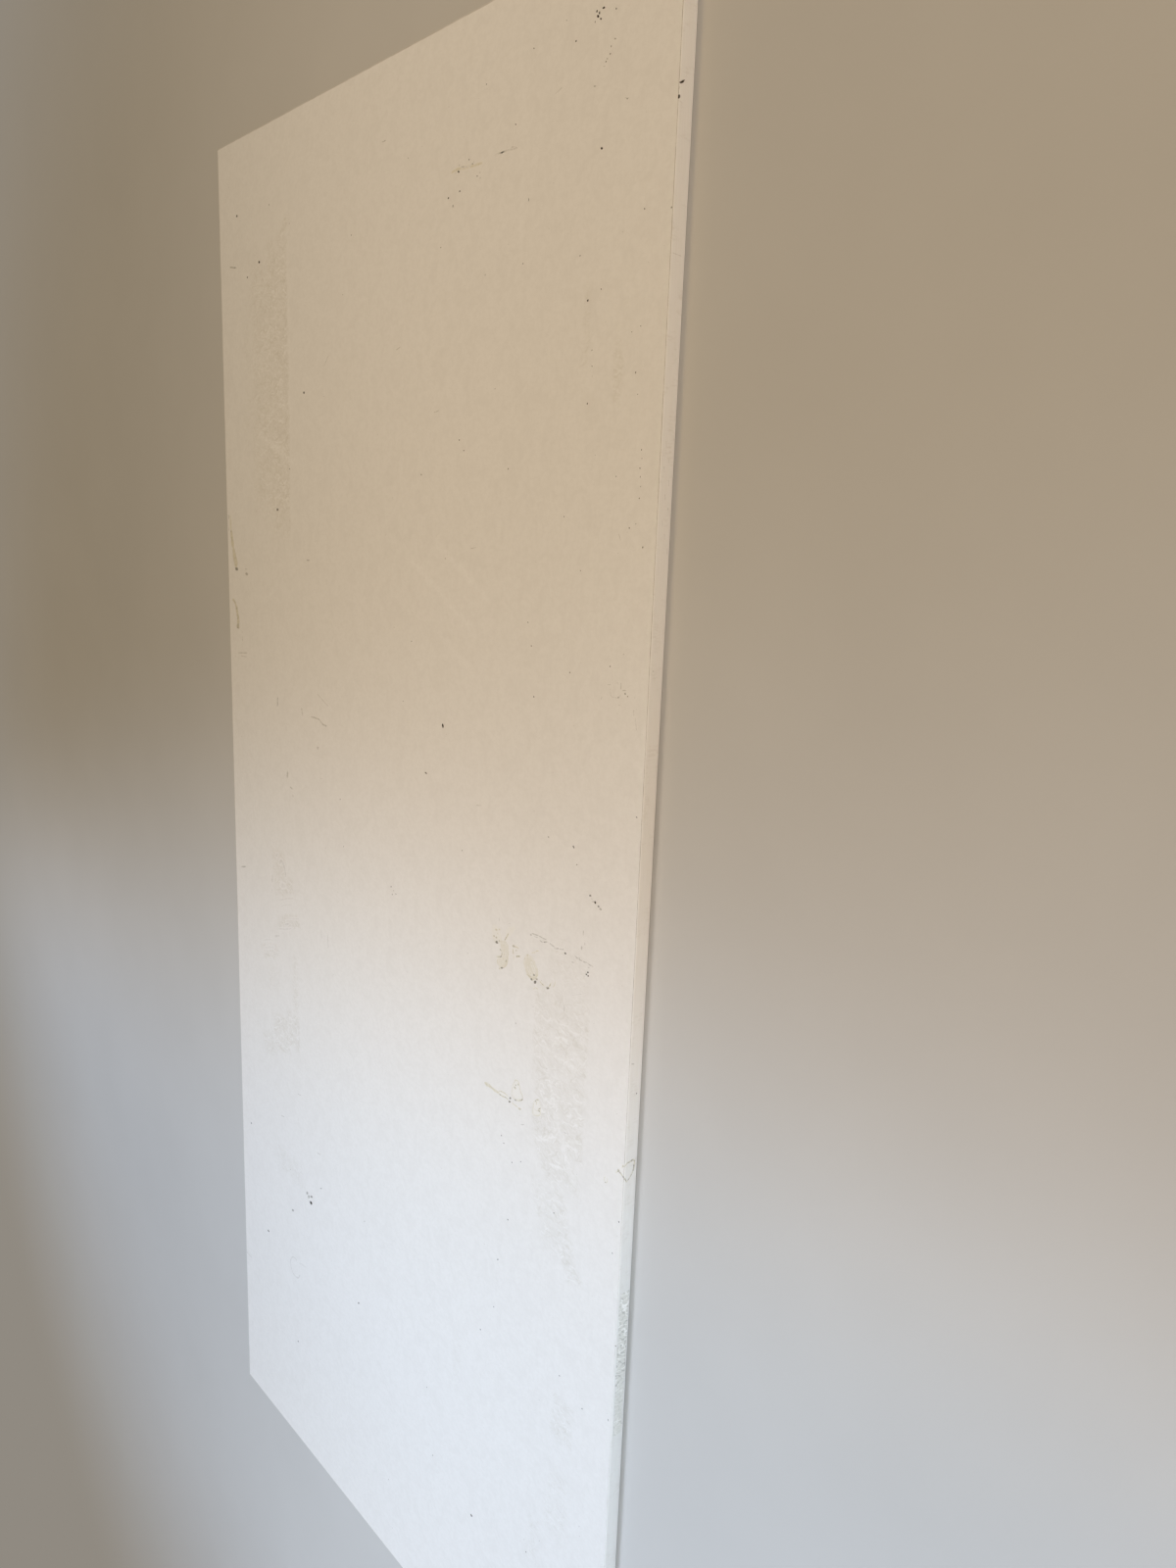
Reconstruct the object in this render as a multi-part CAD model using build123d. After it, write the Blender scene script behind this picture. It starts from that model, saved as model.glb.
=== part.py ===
from build123d import *
import os

# Furniture panel: a white-faced board with a plastic band glued to each of its four edges.
# Millimetres. X runs across the width, Y along the length, Z up out of the shown face.
# The origin is the middle of the back face, so the panel lies on the plane Z = 0.

# Sizes that can be set by themselves
panel_length = 2070.0  # over the two end bands
panel_width = 955.0  # over the two side bands
board_thickness = 18.0  # a stock thickness, and so the height of every band
band_thickness = 1.3  # plastic strip on each edge
trim_flat = 0.3  # flat left on the band beside the glue line when its arris is rounded

# Sizes that follow from them
arris_radius = band_thickness - trim_flat
board_length = panel_length - 2 * band_thickness
board_width = panel_width - 2 * band_thickness
cutter_overrun = board_thickness


def trimmed_outline():
    """Outside form of the finished panel, with every arris and corner rounded alike."""
    block = Pos(0, 0, board_thickness / 2) * Box(panel_width, panel_length, board_thickness)
    return fillet(block.edges(), radius=arris_radius)


def between(x_low, x_high, y_low, y_high):
    """Upright block between two X planes and two Y planes, taller than the panel."""
    centre = Pos((x_low + x_high) / 2, (y_low + y_high) / 2, board_thickness / 2)
    return centre * Box(x_high - x_low, y_high - y_low, board_thickness + 2 * cutter_overrun)


def make_board():
    """Board sawn square to the glue lines, flush with the bands on both faces."""
    return Pos(0, 0, board_thickness / 2) * Box(board_width, board_length, board_thickness)


def make_side_band(outline, side):
    """Band of a long edge, running the panel's full length. side is +1 right or -1 left."""
    glue_line = side * board_width / 2
    outside = side * (panel_width / 2 + cutter_overrun)
    reach = panel_length / 2 + cutter_overrun
    return outline & between(min(glue_line, outside), max(glue_line, outside), -reach, reach)


def make_end_band(outline, end):
    """Band of a short edge, between the two side bands. end is +1 top or -1 bottom."""
    glue_line = end * board_length / 2
    outside = end * (panel_length / 2 + cutter_overrun)
    reach = board_width / 2
    return outline & between(-reach, reach, min(glue_line, outside), max(glue_line, outside))


panel_outline = trimmed_outline()
pieces = {
    "board": make_board(),
    "edge_band_right": make_side_band(panel_outline, 1),
    "edge_band_left": make_side_band(panel_outline, -1),
    "edge_band_top": make_end_band(panel_outline, 1),
    "edge_band_bottom": make_end_band(panel_outline, -1),
}

os.makedirs("parts", exist_ok=True)
for node, piece in pieces.items():
    solid = piece.solid()
    solid.label = node
    export_step(solid, f"parts/{node}.step")
    print(node, "volume", round(solid.volume), "mm3")
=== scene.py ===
# %% [markdown]
# # Dressing a furniture panel
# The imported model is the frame: a board with four plastic bands, lying on its back. This lesson keeps
# every size and place of that frame and gives each surface its finish: semi-matt white decor that has
# been leaned, taped and wiped, trimmed edge banding with a fine glue line, and what has dried on the face.

# %% Load the frame
import math
import random

import bmesh
import bpy
import numpy as np
from mathutils import Matrix, Vector


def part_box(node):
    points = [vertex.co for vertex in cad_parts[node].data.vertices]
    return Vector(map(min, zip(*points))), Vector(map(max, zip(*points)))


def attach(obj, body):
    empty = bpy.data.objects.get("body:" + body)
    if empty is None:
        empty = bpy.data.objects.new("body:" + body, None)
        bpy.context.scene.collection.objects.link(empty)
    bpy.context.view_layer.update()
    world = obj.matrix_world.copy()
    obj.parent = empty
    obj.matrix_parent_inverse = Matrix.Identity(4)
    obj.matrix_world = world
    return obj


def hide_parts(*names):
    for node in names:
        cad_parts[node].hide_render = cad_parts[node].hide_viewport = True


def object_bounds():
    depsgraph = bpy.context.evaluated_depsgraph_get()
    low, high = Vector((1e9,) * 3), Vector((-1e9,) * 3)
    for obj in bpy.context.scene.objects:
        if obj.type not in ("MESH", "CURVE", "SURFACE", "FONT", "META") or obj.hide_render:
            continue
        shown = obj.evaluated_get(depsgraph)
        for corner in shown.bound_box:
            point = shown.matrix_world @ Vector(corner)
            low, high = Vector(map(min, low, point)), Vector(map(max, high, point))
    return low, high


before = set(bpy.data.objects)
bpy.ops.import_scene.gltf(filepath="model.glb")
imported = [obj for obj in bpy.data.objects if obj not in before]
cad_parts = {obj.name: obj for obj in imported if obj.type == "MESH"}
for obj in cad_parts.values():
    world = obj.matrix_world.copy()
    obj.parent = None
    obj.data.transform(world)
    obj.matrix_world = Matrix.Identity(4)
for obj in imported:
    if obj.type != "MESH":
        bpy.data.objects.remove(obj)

cad_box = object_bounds()
low, high = (np.array(corner) * 1000 for corner in cad_box)
panel_width, panel_length, panel_thickness = high - low
print("the panel measures", np.round(high - low, 2), "mm")

# %% [markdown]
# Everything below is worked out in millimetres and turned into metres when a mesh is made. What sticks to
# a panel stands a tenth or two of a millimetre proud, and nothing may leave the box of the frame, so the
# bare surfaces lie that little bit inside it.

# %% Sizes taken from the frame
MM = 0.001
room = 0.15  # between the bare surfaces and the frame's box, for what is stuck on them
glue_width = 0.2  # hot-melt film between board and band
board_low, board_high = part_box("board")
board_width = (board_high.x - board_low.x) / MM
board_length = (board_high.y - board_low.y) / MM
band_thickness = (panel_width - board_width) / 2
arris = 1.0  # radius that the trimming cutter leaves on a band
skin_x = panel_width / 2 - room  # outer face of the side bands, from the middle
skin_y = panel_length / 2 - room  # outer face of the end bands
skin_z = panel_thickness - room  # the shown face
print("board", round(board_width, 1), "x", round(board_length, 1), "band", round(band_thickness, 2))

# %% [markdown]
# A band trimmed on a machine isn't dead straight: the cutter breathes by a few hundredths over every hand's
# breadth. A handful of sine waves of different lengths with seeded phases gives such a line, and gives the
# same one on every run. The other two helpers turn lists of points into an object that rides on the frame.

# %% Helpers for lines and meshes
def wander(seed, *wave_lengths):
    """A smooth line that wanders between about -1 and 1, as a function of the distance along it."""
    draw = random.Random(seed)
    waves = [(2 * math.pi / length, draw.uniform(0, 2 * math.pi)) for length in wave_lengths]

    def height(along):
        return sum(math.sin(pitch * along + phase) for pitch, phase in waves) / len(waves)

    return height


crease = math.radians(40)  # an edge that turns further than this stays sharp


def make_piece(name, points, faces, materials, closed=True):
    """A mesh piece from points in millimetres that rides on the panel."""
    mesh = bpy.data.meshes.new(name)
    mesh.from_pydata([Vector(p) * MM for p in points], [], faces)
    if closed:
        work = bmesh.new()
        work.from_mesh(mesh)
        bmesh.ops.recalc_face_normals(work, faces=work.faces)
        work.to_mesh(mesh)
        work.free()
    mesh.shade_smooth()
    mesh.set_sharp_from_angle(angle=crease)
    for material in materials:
        mesh.materials.append(material)
    piece = bpy.data.objects.new(name, mesh)
    bpy.context.scene.collection.objects.link(piece)
    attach(piece, "root")
    print(name, len(mesh.polygons), "faces")
    return piece


def loft(sections):
    """Points and faces of a solid drawn through closed sections, with a flat cap at each end."""
    count = len(sections[0])
    points = [point for section in sections for point in section]
    faces = []
    for row in range(len(sections) - 1):
        for k in range(count):
            a, b = row * count + k, row * count + (k + 1) % count
            faces.append((a, b, b + count, a + count))
    faces.append(tuple(range(count)))
    faces.append(tuple(range(len(points) - count, len(points))))
    return points, faces


# %% [markdown]
# ## Finishes
# Each finish is a small graph of nodes. Writing the nodes out by hand hides what they mean, so a few
# helpers build the usual ones, and a finish then reads as a recipe.

# %% Helpers for node graphs
def new_finish(name):
    """An empty material with its Principled shader; returns the material, its tree and the shader."""
    material = bpy.data.materials.new(name)
    material.use_nodes = True
    tree = material.node_tree
    shader = next(n for n in tree.nodes if n.type == "BSDF_PRINCIPLED")
    print("finish", name)
    return material, tree, shader


def put(tree, socket, value):
    """Links an output to a socket, or writes a plain value there; a colour gets its opacity."""
    if isinstance(value, bpy.types.NodeSocket):
        tree.links.new(value, socket)
    else:
        socket.default_value = (*value, 1.0) if socket.type == "RGBA" else value


def add(tree, kind, values=(), **settings):
    """A new node with its settings and its inputs, which are given as (socket name or number, value)."""
    node = tree.nodes.new(kind)
    for name, value in settings.items():
        setattr(node, name, value)
    for name, value in values:
        put(tree, node.inputs[name], value)
    return node


def set_look(tree, shader, colour, roughness, bumps, gloss=0.5):
    """Gives the shader its colour, roughness, bump and gloss, each an output or a plain value."""
    look = {"Base Color": colour, "Roughness": roughness, "Normal": bumps, "Specular IOR Level": gloss}
    for name, value in look.items():
        put(tree, shader.inputs[name], value)


def maths(tree, operation, first, second=0.0, third=0.0, clamp=False):
    values = (first, second, third)
    return add(tree, "ShaderNodeMath", enumerate(values), operation=operation, use_clamp=clamp).outputs[0]


def times(tree, first, second):
    return maths(tree, "MULTIPLY", first, second)


def sloped(tree, value, slope, level):
    """slope times the value, plus level."""
    return maths(tree, "MULTIPLY_ADD", value, slope, level)


def vectors(tree, operation, first, second=(0, 0, 0)):
    return add(tree, "ShaderNodeVectorMath", [(0, first), (1, second)], operation=operation).outputs[0]


def scaled(tree, vector, factor):
    return add(tree, "ShaderNodeVectorMath", [(0, vector), ("Scale", factor)], operation="SCALE").outputs[0]


def spun(tree, vector, angle):
    """The vector turned about Z."""
    values = [("Vector", vector), ("Angle", angle)]
    return add(tree, "ShaderNodeVectorRotate", values, rotation_type="Z_AXIS").outputs[0]


def axes(tree, vector):
    return add(tree, "ShaderNodeSeparateXYZ", [(0, vector)]).outputs


def blend(tree, share, first, second):
    """First colour with the share of the second one laid over it."""
    values = [("Factor", share), ("A", first), ("B", second)]
    return add(tree, "ShaderNodeMix", values, data_type="RGBA").outputs["Result"]


def spread(tree, value, low, high, to_low=0.0, to_high=1.0):
    """Value from low to high, eased onto a new range."""
    names = ("Value", "From Min", "From Max", "To Min", "To Max")
    values = zip(names, (value, low, high, to_low, to_high))
    return add(tree, "ShaderNodeMapRange", values, interpolation_type="SMOOTHSTEP").outputs["Result"]


def surface_mm(tree):
    """Object coordinates in millimetres."""
    return scaled(tree, add(tree, "ShaderNodeTexCoord").outputs["Object"], 1 / MM)


def mottle(tree, place, pitch, stretch=(1, 1, 1), turn=0.0, detail=3.0, distortion=0.0, roughness=0.55):
    """Cloudy noise whose marks are about pitch millimetres wide, drawn out by stretch along each axis."""
    values = [("Vector", place), ("Rotation", (0, 0, math.radians(turn)))]
    mapped = add(tree, "ShaderNodeMapping", values).outputs[0]
    sized = vectors(tree, "MULTIPLY", mapped, [1 / (pitch * s) for s in stretch])
    values = [("Vector", sized), ("Scale", 1.0), ("Detail", detail), ("Distortion", distortion)]
    return add(tree, "ShaderNodeTexNoise", values + [("Roughness", roughness)]).outputs["Fac"]


def relief(tree, height, depth, over=None):
    """Bump whose full height is depth millimetres, on top of another bump if one is given."""
    node = add(tree, "ShaderNodeBump", [("Height", height), ("Strength", 1.0), ("Distance", depth * MM)])
    if over is not None:
        put(tree, node.inputs["Normal"], over)
    return node.outputs["Normal"]


# %% [markdown]
# ### White decor
# The face is printed paper pressed in melamine resin: an even, slightly warm white with a fine pearl
# texture and a semi-matt sheen. Use has laid four things over it. Fine specks and smudges lie all over, and
# faint upright streaks beside the long edges. Two upright strips, where tape or straps rubbed, are a little
# greyer and duller and full of short curled strokes. Pale streaks cut through them and slant over the
# middle, where something slid over the face. A painted picture could hold all this, but it would blur close
# up. So each strip is a patch in the panel's own millimetres that fades at its border, and noise tears that
# border and fills the patch.

# %% Where the face was rubbed and wiped
# from the left edge, from the top edge, half width, half length, turn in degrees,
# how far the border fades across and along, strength; all lengths in millimetres
rubbed = [
    (200, 146, 18, 7, -45, 8, 4, 0.9), (183, 350, 30, 200, 0, 7, 50, 0.78),
    (140, 345, 46, 185, 0, 32, 60, 0.65), (86, 330, 22, 120, 0, 24, 60, 0.4),
    (157, 1066, 24, 40, 0, 10, 14, 0.66), (180, 1082, 24, 13, -10, 8, 6, 0.85),
    (184, 1139, 38, 11, -16, 12, 6, 0.85), (121, 1207, 30, 12, -18, 12, 6, 0.8),
    (130, 1250, 22, 24, 0, 12, 12, 0.45), (205, 1238, 10, 48, 0, 10, 20, 0.66),
    (198, 1318, 21, 30, 0, 6, 10, 0.8), (155, 1337, 26, 32, -10, 8, 10, 0.8),
    (112, 1369, 22, 20, -20, 10, 10, 0.7), (176, 1562, 52, 24, 0, 26, 16, 0.55),
    (148, 1894, 60, 24, 0, 24, 12, 0.2), (850, 1030, 38, 66, 0, 12, 40, 0.45),
    (841, 1095, 48, 66, 0, 5, 40, 0.62), (843, 1180, 44, 50, 0, 6, 20, 0.72),
    (826, 1215, 30, 36, -14, 8, 20, 0.72), (846, 1250, 34, 26, -20, 10, 20, 0.7),
    (838, 1320, 32, 48, -16, 12, 26, 0.58), (870, 1362, 14, 26, -35, 8, 14, 0.7),
    (869, 1573, 20, 32, 0, 10, 14, 0.7), (866, 1692, 28, 60, 6, 18, 22, 0.45),
    (824, 1778, 16, 38, 0, 12, 16, 0.45), (653, 1623, 14, 40, 0, 12, 14, 0.4),
    (841, 336, 7, 46, 0, 6, 16, 0.45), (890, 381, 7, 30, 0, 5, 12, 0.6),
]
wiped = [
    (172, 428, 56, 5, 22, 14, 4, 0.8), (216, 345, 3, 190, 0, 3, 60, 0.35), (144, 637, 33, 4, -33, 14, 4, 0.5),
    (836, 1178, 4, 54, -22, 4, 16, 0.65), (860, 1232, 4, 26, -27, 4, 12, 0.65),
    (812, 1092, 3, 24, -80, 3, 10, 0.6), (862, 1076, 2.5, 22, -76, 3, 10, 0.6),
    (845, 1116, 3, 30, -84, 3, 12, 0.6), (826, 1219, 26, 3, -30, 10, 3, 0.5),
    (875, 1104, 14, 4, 10, 8, 4, 0.5), (733, 175, 3, 75, 0, 4, 30, 0.35), (592, 610, 78, 4, 30, 20, 4, 0.6),
    (636, 582, 62, 4, 30, 18, 4, 0.55), (623, 630, 50, 3, 50, 16, 4, 0.25), (628, 680, 52, 4, 29, 16, 4, 0.4),
]
print(len(rubbed), "rubbed patches,", len(wiped), "wiped ones")


# %% A patch with a soft border
def patch_group():
    """A node group: 1 inside a turned rectangle in the panel's millimetres, fading to 0 at its border."""
    group = bpy.data.node_groups.new("soft_patch", "ShaderNodeTree")
    kinds = {"Place": "Vector", "Middle": "Vector", "Half": "Vector", "Turn": "Float", "Fade": "Vector"}
    for name, kind in kinds.items():
        group.interface.new_socket(name, in_out="INPUT", socket_type="NodeSocket" + kind)
    group.interface.new_socket("Inside", in_out="OUTPUT", socket_type="NodeSocketFloat")
    given = add(group, "NodeGroupInput").outputs
    moved = vectors(group, "SUBTRACT", given["Place"], given["Middle"])
    size = vectors(group, "ABSOLUTE", spun(group, moved, given["Turn"]))
    inward = vectors(group, "SUBTRACT", given["Half"], size)
    share = axes(group, vectors(group, "DIVIDE", inward, given["Fade"]))
    least = maths(group, "MINIMUM", share["X"], share["Y"])
    add(group, "NodeGroupOutput", [("Inside", spread(group, least, -1.0, 1.0))])
    return group


soft_patch = patch_group()


def patches(tree, place, marks):
    """The strongest of a list of patches at each point."""
    total = None
    for from_left, from_top, half_wide, half_long, turn, fade_across, fade_along, strength in marks:
        middle = (from_left - panel_width / 2, panel_length / 2 - from_top, 0)
        values = (place, middle, (half_wide, half_long, 0), math.radians(turn), (fade_across, fade_along, 1))
        inside = add(tree, "ShaderNodeGroup", enumerate(values), node_tree=soft_patch).outputs[0]
        share = times(tree, inside, strength)
        total = share if total is None else maths(tree, "MAXIMUM", total, share)
    return total


# %% [markdown]
# A short stroke is harder for noise, because noise has no ends. A cell texture has them: each cell draws its
# own random colour, and that colour turns and bends one stroke about the middle of the cell. A parabola
# is enough of a bend, and cells whose draw is low stay empty.

# %% Curled strokes
def strokes(tree, place, cell, half_long, half_wide, lean, swing):
    """A curled stroke in most cells; half length and width are shares of a cell, angles are in degrees."""
    most_curl = 1.2
    sized = scaled(tree, place, 1 / cell)
    values = [("Vector", sized), ("Scale", 1.0)]
    net = add(tree, "ShaderNodeTexVoronoi", values, voronoi_dimensions="2D").outputs
    draw = add(tree, "ShaderNodeSeparateColor", [(0, net["Color"])]).outputs
    inside = vectors(tree, "SUBTRACT", sized, net["Position"])
    angle = sloped(tree, draw[0], math.radians(2 * swing), math.radians(lean - swing))
    run = axes(tree, spun(tree, inside, angle))
    squared = times(tree, run[0], run[0])
    curl = sloped(tree, draw[1], 2 * most_curl, -most_curl)
    across = maths(tree, "ABSOLUTE", sloped(tree, squared, curl, run[1]))
    ends = spread(tree, squared, half_long ** 2, 0.2 * half_long ** 2)
    flanks = spread(tree, across, half_wide, 0.15 * half_wide)
    drawn = spread(tree, draw[2], 0.25, 0.6)
    return times(tree, times(tree, ends, flanks), drawn)


# %% [markdown]
# The finish puts it together: first the patches, pushed about and torn by noise, then what fills them, then
# the colours from the bottom layer to the top one. Every pitch is in millimetres, and the last two numbers
# of each spread are the least and the most of that layer.

# %% The decor finish
white = (0.80, 0.785, 0.76)
dusty = (0.715, 0.697, 0.668)
worn = (0.65, 0.625, 0.572)
bright = (0.86, 0.85, 0.833)


def decor_finish():
    material, tree, shader = new_finish("white_decor")
    place = surface_mm(tree)
    shiver_pitch, shiver_reach = 11, 16.0
    values = [("Vector", place), ("Scale", 1 / shiver_pitch), ("Detail", 4.0)]
    shiver = add(tree, "ShaderNodeTexNoise", values).outputs["Color"]
    centred = vectors(tree, "SUBTRACT", shiver, (0.5, 0.5, 0.5))
    loose = vectors(tree, "ADD", place, scaled(tree, centred, shiver_reach))
    up = axes(tree, add(tree, "ShaderNodeNewGeometry").outputs["Normal"])["Z"]
    front = maths(tree, "GREATER_THAN", up, 0.5)  # the back has no marks

    tears = mottle(tree, place, 13, (1.4, 1, 1), turn=12, detail=4, distortion=1.2)
    torn = sloped(tree, tears, 1.5, -0.75)
    rub = patches(tree, loose, rubbed)
    rub = spread(tree, sloped(tree, torn, maths(tree, "MINIMUM", rub, 0.5), rub), 0.15, 0.85)
    rub = times(tree, rub, front)
    broken = spread(tree, mottle(tree, place, 4), 0.38, 0.6, 0.25, 1.0)
    wipe = times(tree, times(tree, patches(tree, loose, wiped), front), broken)

    curls = mottle(tree, place, 4.5, (2.2, 1, 1), turn=20, detail=4, distortion=1.8)
    long_and_short = ((21, 0.6, 0.08, -12, 30), (12, 0.55, 0.12, -20, 55))
    dark_strokes = maths(tree, "MAXIMUM", *(strokes(tree, loose, *row) for row in long_and_short))
    long_and_short = ((25, 0.62, 0.07, -12, 26), (10, 0.5, 0.14, -5, 60))
    pale_strokes = maths(tree, "MAXIMUM", *(strokes(tree, loose, *row) for row in long_and_short))
    clouds = mottle(tree, place, 140, detail=4)
    specks = mottle(tree, place, 6, (1.2, 1, 1), detail=4, distortion=0.4, roughness=0.7)
    smudges = mottle(tree, place, 20, (1, 1.2, 1), detail=4, distortion=0.8)
    streaks = mottle(tree, place, 4, (1, 5, 1), turn=2, detail=4, distortion=0.8)
    across = axes(tree, place)["X"]
    right_side, left_side = spread(tree, across, 170, 330), spread(tree, across, -300, -400, 0, 0.7)
    beside = maths(tree, "MAXIMUM", right_side, left_side)

    colour = blend(tree, times(tree, clouds, 0.10), white, dusty)
    colour = blend(tree, spread(tree, specks, 0.38, 0.66, 0.0, 0.36), colour, dusty)
    colour = blend(tree, spread(tree, smudges, 0.4, 0.68, 0.0, 0.32), colour, dusty)
    colour = blend(tree, times(tree, beside, spread(tree, streaks, 0.42, 0.72, 0.0, 0.18)), colour, dusty)
    colour = blend(tree, times(tree, rub, spread(tree, curls, 0.33, 0.67, 0.03, 0.58)), colour, worn)
    colour = blend(tree, times(tree, rub, times(tree, dark_strokes, 0.7)), colour, worn)
    colour = blend(tree, times(tree, rub, times(tree, pale_strokes, 0.7)), colour, bright)
    colour = blend(tree, times(tree, wipe, 0.7), colour, bright)

    dull = sloped(tree, specks, 0.10, sloped(tree, rub, 0.10, 0.36))
    pearl = relief(tree, mottle(tree, place, 0.7, detail=2), 0.012)
    set_look(tree, shader, colour, dull, pearl, 0.45)
    return material


white_decor = decor_finish()

# %% [markdown]
# ### Sawn core
# Under the bands the board is bare chipboard. It only shows where a band is missing, and a maker who takes
# one off expects chips there: pale flakes a few millimetres long with gaps between them, finer towards both
# faces. The gaps are painted dark, as shade in the hollows.

# %% The core finish
def core_finish():
    material, tree, shader = new_finish("sawn_chipboard")
    chip_scale = (0.35, 0.35, 0.9)  # chips lie flat, so they are thinner along Z
    sized = vectors(tree, "MULTIPLY", surface_mm(tree), chip_scale)
    chips = add(tree, "ShaderNodeTexVoronoi", [("Vector", sized), ("Scale", 1.0)]).outputs
    shade = add(tree, "ShaderNodeSeparateColor", [(0, chips["Color"])]).outputs[0]
    colour = blend(tree, shade, (0.50, 0.36, 0.21), (0.68, 0.54, 0.36))
    # painted shade: the gaps between the chips are darkened like hollows in shade
    painted_gap_shade = spread(tree, chips["Distance"], 0.45, 0.8)
    colour = blend(tree, times(tree, painted_gap_shade, 0.7), colour, (0.16, 0.10, 0.06))
    set_look(tree, shader, colour, 0.9, relief(tree, chips["Distance"], -0.4))
    return material


sawn_chipboard = core_finish()

# %% [markdown]
# ## The board
# The board is sawn square and stops at the glue film. Its two faces are grids of hand-sized cells, and a
# hair's width is eased off the rim of each face where the trimming cutter touched it.

# %% Make the board
def board_points(cell=40.0, easing=0.05):
    """Points, faces and the numbers of the sawn faces; easing is what is taken off the rims."""
    half_x, half_y = ((size - glue_width) / 2 - easing for size in (board_width, board_length))
    columns = np.linspace(-half_x, half_x, round(board_width / cell))
    rows = np.linspace(-half_y, half_y, round(board_length / cell))
    wide, last = len(columns), len(rows) - 1
    points, faces, rims, walls = [], [], [], []
    for level in (0.0, skin_z):
        start = len(points)
        points += [(x, y, level) for y in rows for x in columns]
        for a in (start + j * wide + i for j in range(last) for i in range(wide - 1)):
            faces.append((a, a + 1, a + 1 + wide, a + wide))
        walk = [(0, i) for i in range(wide)] + [(j, wide - 1) for j in range(1, last + 1)]
        walk += [(last, i) for i in range(wide - 2, -1, -1)] + [(j, 0) for j in range(last - 1, 0, -1)]
        rims.append([start + j * wide + i for j, i in walk])
    for rim, level in zip(rims, (easing, skin_z - easing)):
        walls.append(range(len(points), len(points) + len(rim)))
        for x, y, _ in [points[index] for index in rim]:
            wider = math.copysign(easing, x) if math.isclose(abs(x), half_x) else 0.0
            longer = math.copysign(easing, y) if math.isclose(abs(y), half_y) else 0.0
            points.append((x + wider, y + longer, level))
    around = len(walls[0])
    sawn_from = len(faces) + around
    loops = [rims[0], walls[0], walls[1], rims[1]]
    for lower, upper in zip(loops, loops[1:]):
        for k in range(around):
            n = (k + 1) % around
            faces.append((lower[k], lower[n], upper[n], upper[k]))
    return points, faces, range(sawn_from, sawn_from + around)


points, faces, sawn = board_points()
board = make_piece("board_dressed", points, faces, [white_decor, sawn_chipboard])
for face in sawn:
    board.data.polygons[face].material_index = 1
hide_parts("board")

# %% [markdown]
# ## Edge banding
# ### The plastic
# The bands are extruded plastic, a shade greyer than the decor and duller. The extruder and the scraper
# that cleans the arris leave fine lines along the length, so one noise is drawn out a hundredfold along the
# band. The side bands run along Y and the end bands along X, so the recipe takes the direction.

# %% The plastic finish
def band_finish(name, drawn):
    """drawn is how far the lines are drawn out along each axis."""
    material, tree, shader = new_finish(name)
    place = surface_mm(tree)
    scored = mottle(tree, place, 0.35, drawn, detail=2)
    grime = mottle(tree, place, 18, detail=4, distortion=0.6)
    smears = mottle(tree, place, 2.5, (1, 1, 3))
    clean, dirty = (0.775, 0.762, 0.735), (0.62, 0.59, 0.54)
    colour = blend(tree, times(tree, spread(tree, scored, 0.4, 0.7), 0.18), clean, dirty)
    patchy = times(tree, spread(tree, grime, 0.48, 0.72), spread(tree, smears, 0.4, 0.7))
    colour = blend(tree, times(tree, patchy, 0.55), colour, dirty)
    bumps = relief(tree, smears, 0.015, over=relief(tree, scored, 0.01))
    set_look(tree, shader, colour, sloped(tree, grime, 0.25, 0.36), bumps, 0.4)
    return material


side_plastic = band_finish("edge_plastic_lengthwise", (1, 100, 1))
end_plastic = band_finish("edge_plastic_crosswise", (100, 1, 1))

# %% [markdown]
# ### The strips
# A band's section is a thin rectangle with its two outer corners rounded by the cutter. Each point of the
# section is an anchor plus the cutter's radius in one direction. Where a side band runs out at a corner of
# the panel, the radius shrinks with the cosine and the strip ends in a quarter turn, so the corner of the
# panel comes out as a small ball, as on the frame. The end bands stop square between the side bands.
# Knocks are pushed into the mesh: close stations there, and points near the middle of the knock move in.

# %% The section and its stations
chips = [  # from the top edge, down from the face, radius, depth
    (144.5, 1.0, 2.2, 0.30),
    (157.0, 0.3, 1.3, 0.25),
    (407.0, 1.2, 1.2, 0.15),
    (1417.0, 0.2, 1.4, 0.20),
]


def section(inner, outer, radius, turned):
    """Closed section as (out, up) pairs; turned is the angle round the end of the strip."""
    steps = [math.radians(15 * k) for k in range(7)]  # a quarter turn
    clear = radius + 0.4  # the flat is divided from here on
    anchors = [(inner, radius, 0, -1)]
    anchors += [(outer - radius, radius, math.sin(a), -math.cos(a)) for a in steps]
    anchors += [(outer - radius, up, 1, 0) for up in np.linspace(clear, skin_z - clear, 5)]
    anchors += [(outer - radius, skin_z - radius, math.cos(a), math.sin(a)) for a in steps]
    anchors += [(inner, skin_z - radius, 0, 1)]
    reach = radius * math.cos(turned)
    return [(out + reach * n_out, up + reach * n_up) for out, up, n_out, n_up in anchors]


def stations(half, rounded, spacing=12.0):
    """(distance from the middle, angle round the end) along a strip."""
    straight = half - (arris if rounded else 0)
    places = list(np.linspace(-straight, straight, round(2 * straight / spacing)))
    if not rounded:
        return [(place, 0.0) for place in places]
    for from_top, _, radius, _ in chips:
        middle = panel_length / 2 - from_top
        places += [middle + radius * step for step in np.linspace(-1.5, 1.5, 11)]
    turn = [math.radians(18 * k) for k in range(1, 6)]
    ends = [(straight + arris * math.sin(a), a) for a in turn]
    return [(-place, a) for place, a in reversed(ends)] + [(place, 0.0) for place in sorted(places)] + ends


# %% [markdown]
# With the section and its stations, a strip is one loft. The cutter's radius breathes from station to station
# by the wander from above, each band with its own seed, so no two bands run quite alike.

# %% Make the four bands
def knocked(out, up, along, outer):
    """How far a knock pushes a point of the right band inwards."""
    push = 0.0
    for from_top, down, radius, depth in chips:
        far = math.dist((along, up, out), (panel_length / 2 - from_top, skin_z - down, outer)) / radius
        push += depth * max(0.0, 1 - far * far)
    return push


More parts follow.
